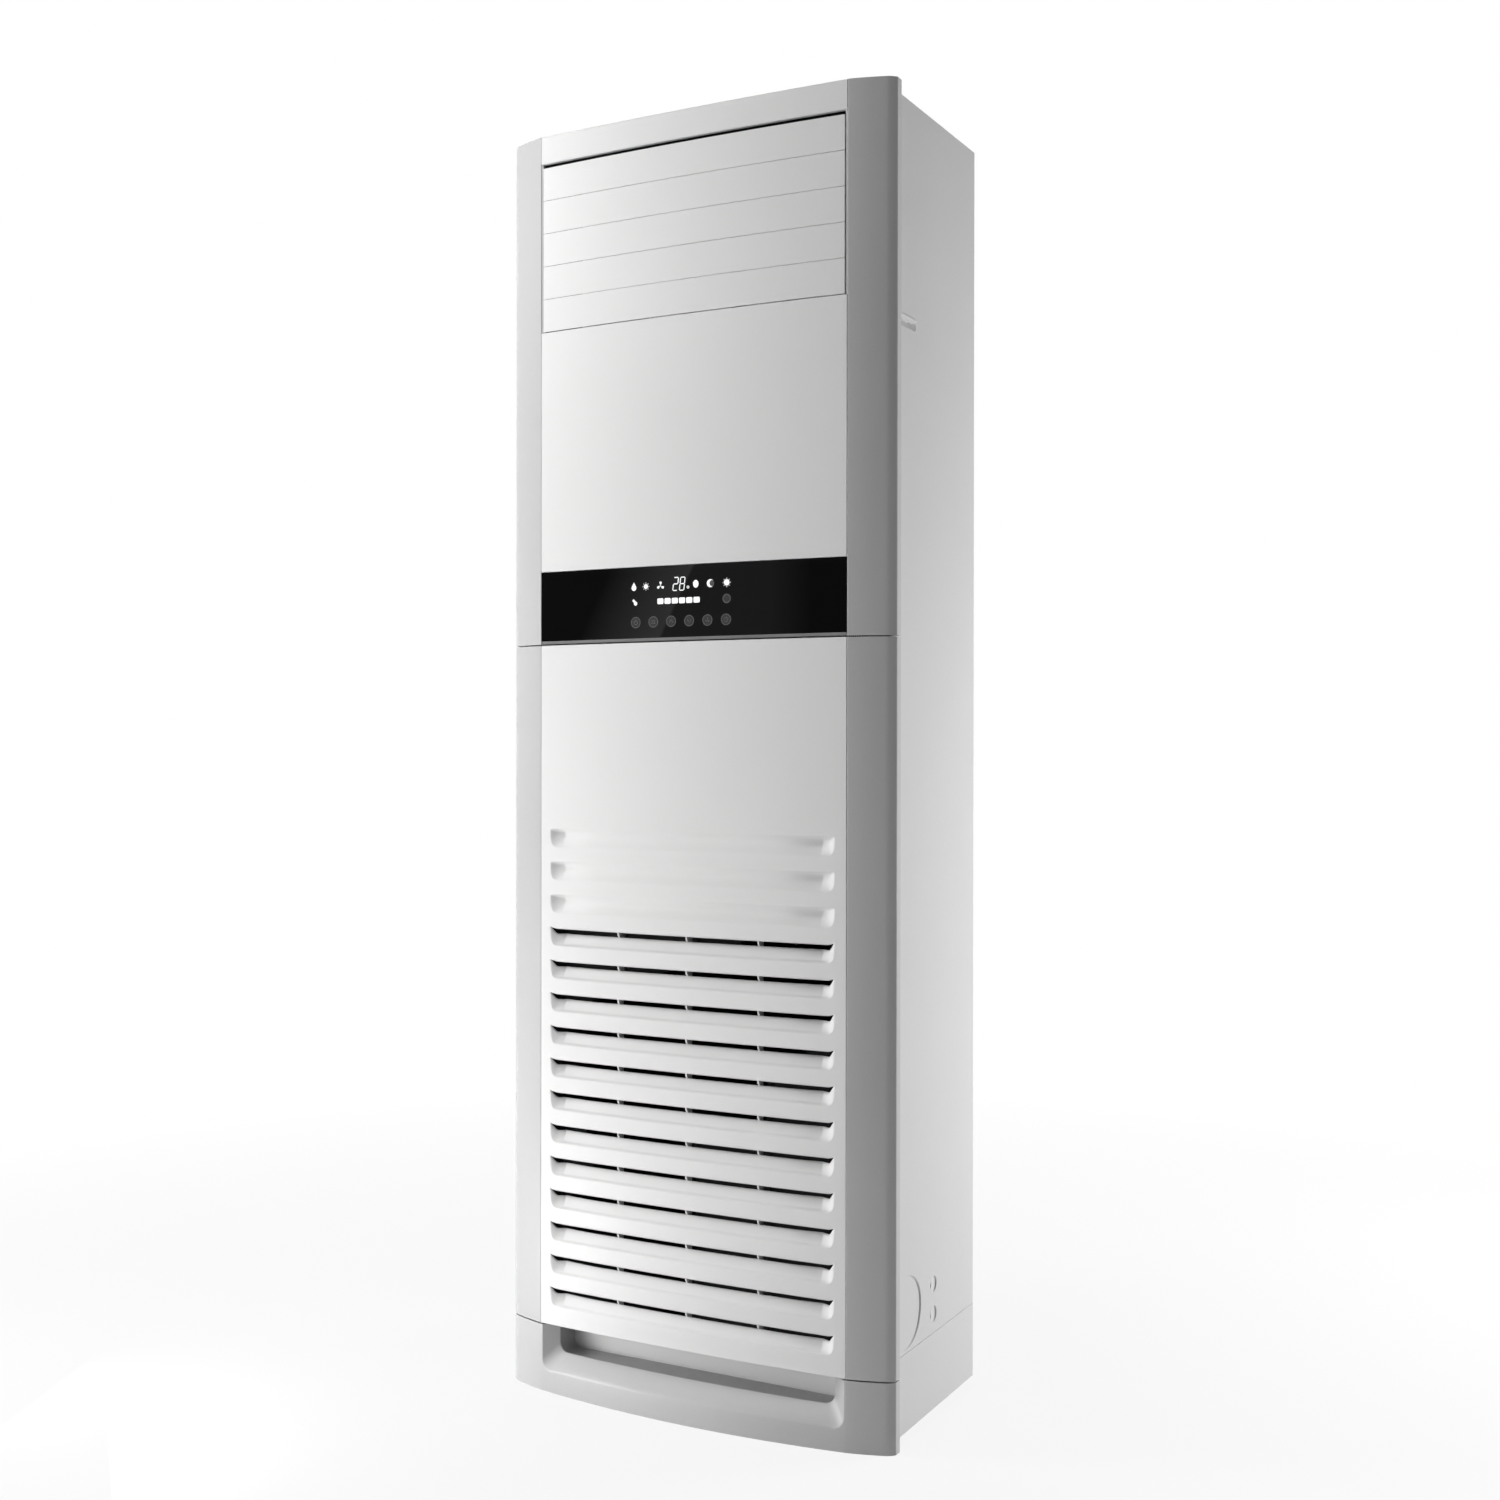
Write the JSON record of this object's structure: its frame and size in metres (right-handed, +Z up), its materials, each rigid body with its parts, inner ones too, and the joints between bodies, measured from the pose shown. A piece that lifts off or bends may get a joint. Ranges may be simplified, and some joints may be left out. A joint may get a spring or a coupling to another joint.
{
  "type": "floor standing air conditioner",
  "caption": "Tall cabinet air conditioner: bowed white front with shut louvres, black display band and slotted intake grille between silver stiles, on a base with a toe recess.",
  "frame": {"origin": "on the floor, at the centre of the footprint", "axes": "+Z up, the louvred front faces -Y, +X to the right as seen from the front"},
  "size_m": [0.6, 0.339, 1.78],
  "materials": {
    "white": "satin white moulding",
    "silver": "silver-grey paint on moulding",
    "casing": "light grey powder coat",
    "glass": "black gloss window",
    "dark": "matt black moulding",
    "vane": "matt off-white moulding",
    "zinc": "galvanised sheet",
    "foam": "white polystyrene foam",
    "fins": "bare fins",
    "copper": "bare copper tube",
    "motor": "dark grey enamel",
    "steel": "turned steel",
    "board": "green circuit board",
    "rubber": "matt",
    "net": "fine dark net"
  },
  "bodies": {
    "root": {"upper_stile_left": "silver", "upper_stile_right": "silver", "header": "white", "upper_front_panel": "white", "display_window": "glass", "display_board": "board", "base_cover": "silver", "base_pan": "casing", "rear_panel": "casing", "top_cover": "casing", "side_panel_left": "casing", "side_panel_right": "casing", "front_post_left": "zinc", "front_post_right": "zinc", "foot_front_left": "rubber", "foot_front_right": "rubber", "foot_rear_left": "rubber", "foot_rear_right": "rubber", "filter_rack": "dark", "outlet_frame": "dark", "duct_hood": "foam", "louvre_motor": "zinc", "vane_motor": "zinc", "blower_deck": "zinc", "fan_scroll": "zinc", "scroll_front": "zinc", "fan_motor": "motor", "motor_bracket": "zinc", "coil_fins": "fins", "coil_end_left": "zinc", "coil_end_right": "zinc", "drain_pan": "foam", "drain_hose": "dark", "gas_pipe": "copper", "liquid_pipe": "copper", "electrical_box": "zinc", "electrical_cover": "zinc", "control_board": "board", "fan_capacitor": "dark"},
    "door": {"lower_panel": "white", "lower_stile_left": "silver", "lower_stile_right": "silver"},
    "filter": {"filter_frame": "dark", "filter_net": "net"},
    "fan": {"fan_wheel": "vane", "fan_shaft": "steel"},
    "tie_bar": {"louvre_tie_bar": "vane"},
    "vane_link": {"vane_link": "vane"},
    "louvre_1": {"louvre_blade_1": "white"},
    "louvre_2": {"louvre_blade_2": "white"},
    "louvre_3": {"louvre_blade_3": "white"},
    "louvre_4": {"louvre_blade_4": "white"},
    "louvre_5": {"louvre_blade_5": "white"},
    "vane_1": {"vane_1": "vane"},
    "vane_2": {"vane_2": "vane"},
    "vane_3": {"vane_3": "vane"},
    "vane_4": {"vane_4": "vane"},
    "vane_5": {"vane_5": "vane"},
    "vane_6": {"vane_6": "vane"}
  },
  "joints": [
    {"name": "door_tilt", "type": "hinge", "parent": "root", "child": "door", "pos_m": [0, -0.147, 0.1], "axis": [1, 0, 0], "range_deg": [0, 25]},
    {"name": "filter_lift", "type": "slide", "parent": "root", "child": "filter", "axis": [0, 0, 1], "range_m": [0, 0.3]},
    {"name": "fan_spin", "type": "hinge", "parent": "root", "child": "fan", "pos_m": [-0.022, 0, 0.4], "axis": [0, 1, 0], "continuous": true},
    {"name": "louvre_1_swing", "type": "hinge", "parent": "root", "child": "louvre_1", "pos_m": [0, -0.1385, 1.52575], "axis": [-1, 0, 0], "range_deg": [0, 60]},
    {"name": "louvre_2_swing", "type": "hinge", "parent": "root", "child": "louvre_2", "pos_m": [0, -0.1385, 1.57225], "axis": [-1, 0, 0], "range_deg": [0, 60]},
    {"name": "louvre_3_swing", "type": "hinge", "parent": "root", "child": "louvre_3", "pos_m": [0, -0.1385, 1.61875], "axis": [-1, 0, 0], "range_deg": [0, 60]},
    {"name": "louvre_4_swing", "type": "hinge", "parent": "root", "child": "louvre_4", "pos_m": [0, -0.1385, 1.66525], "axis": [-1, 0, 0], "range_deg": [0, 60]},
    {"name": "louvre_5_swing", "type": "hinge", "parent": "root", "child": "louvre_5", "pos_m": [0, -0.1385, 1.71175], "axis": [-1, 0, 0], "range_deg": [0, 60]},
    {"name": "tie_bar_pivot", "type": "hinge", "parent": "louvre_1", "child": "tie_bar", "pos_m": [0.2372, -0.1245, 1.52575], "axis": [-1, 0, 0], "range_deg": [-60, 0]},
    {"name": "vane_1_swing", "type": "hinge", "parent": "root", "child": "vane_1", "pos_m": [-0.19942, -0.0785, 1.62145], "axis": [0, 0, 1], "range_deg": [-40, 40]},
    {"name": "vane_2_swing", "type": "hinge", "parent": "root", "child": "vane_2", "pos_m": [-0.11965, -0.0785, 1.62145], "axis": [0, 0, 1], "range_deg": [-40, 40]},
    {"name": "vane_3_swing", "type": "hinge", "parent": "root", "child": "vane_3", "pos_m": [-0.03988, -0.0785, 1.62145], "axis": [0, 0, 1], "range_deg": [-40, 40]},
    {"name": "vane_4_swing", "type": "hinge", "parent": "root", "child": "vane_4", "pos_m": [0.03988, -0.0785, 1.62145], "axis": [0, 0, 1], "range_deg": [-40, 40]},
    {"name": "vane_5_swing", "type": "hinge", "parent": "root", "child": "vane_5", "pos_m": [0.11965, -0.0785, 1.62145], "axis": [0, 0, 1], "range_deg": [-40, 40]},
    {"name": "vane_6_swing", "type": "hinge", "parent": "root", "child": "vane_6", "pos_m": [0.19942, -0.0785, 1.62145], "axis": [0, 0, 1], "range_deg": [-40, 40]},
    {"name": "vane_link_pivot", "type": "hinge", "parent": "vane_1", "child": "vane_link", "pos_m": [-0.19942, -0.0605, 1.518], "axis": [0, 0, 1], "range_deg": [-40, 40]}
  ],
  "couplings": [
    {"joint": "louvre_2_swing", "follows": "louvre_1_swing", "ratio": 1},
    {"joint": "louvre_3_swing", "follows": "louvre_1_swing", "ratio": 1},
    {"joint": "louvre_4_swing", "follows": "louvre_1_swing", "ratio": 1},
    {"joint": "louvre_5_swing", "follows": "louvre_1_swing", "ratio": 1},
    {"joint": "tie_bar_pivot", "follows": "louvre_1_swing", "ratio": -1},
    {"joint": "vane_2_swing", "follows": "vane_1_swing", "ratio": 1},
    {"joint": "vane_3_swing", "follows": "vane_1_swing", "ratio": 1},
    {"joint": "vane_4_swing", "follows": "vane_1_swing", "ratio": 1},
    {"joint": "vane_5_swing", "follows": "vane_1_swing", "ratio": 1},
    {"joint": "vane_6_swing", "follows": "vane_1_swing", "ratio": 1},
    {"joint": "vane_link_pivot", "follows": "vane_1_swing", "ratio": -1}
  ]
}
